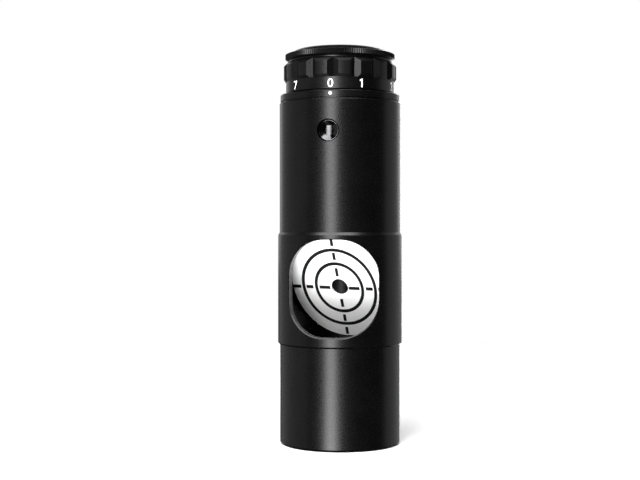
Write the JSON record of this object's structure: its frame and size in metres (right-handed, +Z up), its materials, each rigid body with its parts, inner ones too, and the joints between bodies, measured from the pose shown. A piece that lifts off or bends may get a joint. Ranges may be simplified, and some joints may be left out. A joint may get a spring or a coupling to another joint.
{
  "type": "laser collimator",
  "caption": "Laser collimator: push-in barrel, side window over a slanted target, tilt-adjustable laser module, brightness dial and knurled battery cap.",
  "frame": {"origin": "centre of the barrel's bottom rim, on the tube axis", "axes": "+Z up along the tube axis towards the battery cap, -Y out of the viewing window"},
  "size_m": [0.0328, 0.0328, 0.1044],
  "materials": {
    "black_anodised": "satin black anodised, fine bead-blast grain",
    "dial_black": "semi-gloss black anodised",
    "cap_black": "semi-gloss black anodised, knurled rim",
    "matt_black": "matt black anodised",
    "target_white": "satin white enamel",
    "screw_black": "glossy black oxide",
    "rubber": "matt black rubber",
    "carrier_aluminium": "plain turned aluminium",
    "brass": "turned brass",
    "lens_glass": "polished coated glass",
    "steel": "bright steel",
    "gold_contact": "gold-plated contact metal",
    "circuit_board": "green solder mask",
    "component_black": "moulded epoxy",
    "lead_insulation": "soft insulation",
    "switch_plastic": "moulded nylon"
  },
  "bodies": {
    "root": {"nosepiece_barrel": "black_anodised", "window_housing": "black_anodised", "target_block": "matt_black", "target_plate": "target_white", "target_grub_screw": "screw_black", "main_tube": "black_anodised", "index_collar": "black_anodised", "switch_base": "switch_plastic", "switch_board": "circuit_board", "switch_contact_pads": "gold_contact", "board_screws": "steel", "detent_spring": "steel", "detent_ball": "steel"},
    "pivot": {"pivot_o_ring": "rubber"},
    "laser_module": {"module_carrier": "carrier_aluminium", "laser_module_shell": "brass", "laser_diode": "steel", "diode_retainer": "brass", "lens_barrel": "brass", "collimating_lens": "lens_glass", "lens_retaining_ring": "steel", "lens_spring": "steel", "driver_board": "circuit_board", "driver_components": "component_black", "power_leads": "lead_insulation"},
    "adjuster_front": {"adjust_screw_front": "screw_black"},
    "adjuster_right": {"adjust_screw_right": "screw_black"},
    "adjuster_left": {"adjust_screw_left": "screw_black"},
    "dial": {"brightness_dial": "dial_black", "dial_retaining_ring": "steel", "contact_wiper": "gold_contact", "battery_insulator": "switch_plastic", "negative_spring": "steel", "coin_cell": "steel"},
    "cap_seal": {"cap_seal_ring": "rubber"},
    "cap": {"battery_cap": "cap_black", "positive_contact": "gold_contact"}
  },
  "joints": [
    {"name": "dial_turn", "type": "hinge", "parent": "root", "child": "dial", "pos_m": [0, 0, 0.0923], "axis": [0, 0, 1], "range_deg": [-315, 0]},
    {"name": "cap_lift", "type": "slide", "parent": "dial", "child": "cap_seal", "axis": [0, 0, 1], "range_m": [0, 0.003]},
    {"name": "cap_turn", "type": "hinge", "parent": "cap_seal", "child": "cap", "pos_m": [0, 0, 0.1005], "axis": [0, 0, 1], "range_deg": [0, 1080]},
    {"name": "module_tilt_x", "type": "hinge", "parent": "root", "child": "pivot", "pos_m": [0, 0, 0.0662], "axis": [0.9986, -0.0523, 0], "range_deg": [-0.69, 0.69]},
    {"name": "module_tilt_y", "type": "hinge", "parent": "pivot", "child": "laser_module", "pos_m": [0, 0, 0.0662], "axis": [0.0523, 0.9986, 0], "range_deg": [-0.8, 0.8]},
    {"name": "adjust_front", "type": "hinge", "parent": "root", "child": "adjuster_front", "pos_m": [-0.0008, -0.01533, 0.0818], "axis": [-0.0523, -0.9986, 0], "range_deg": [-90, 90]},
    {"name": "adjust_right", "type": "hinge", "parent": "root", "child": "adjuster_right", "pos_m": [0.01368, 0.00697, 0.0818], "axis": [0.891, 0.454, 0], "range_deg": [-90, 90]},
    {"name": "adjust_left", "type": "hinge", "parent": "root", "child": "adjuster_left", "pos_m": [-0.01287, 0.00836, 0.0818], "axis": [-0.8387, 0.5446, 0], "range_deg": [-90, 90]}
  ],
  "couplings": [
    {"joint": "cap_turn", "follows": "cap_lift", "rad_per_m": 6283.2},
    {"joint": "adjust_front", "follows": "module_tilt_x", "ratio": 130.7},
    {"joint": "adjust_right", "follows": "module_tilt_y", "ratio": 113.1},
    {"joint": "adjust_left", "follows": "module_tilt_y", "ratio": -113.1}
  ]
}
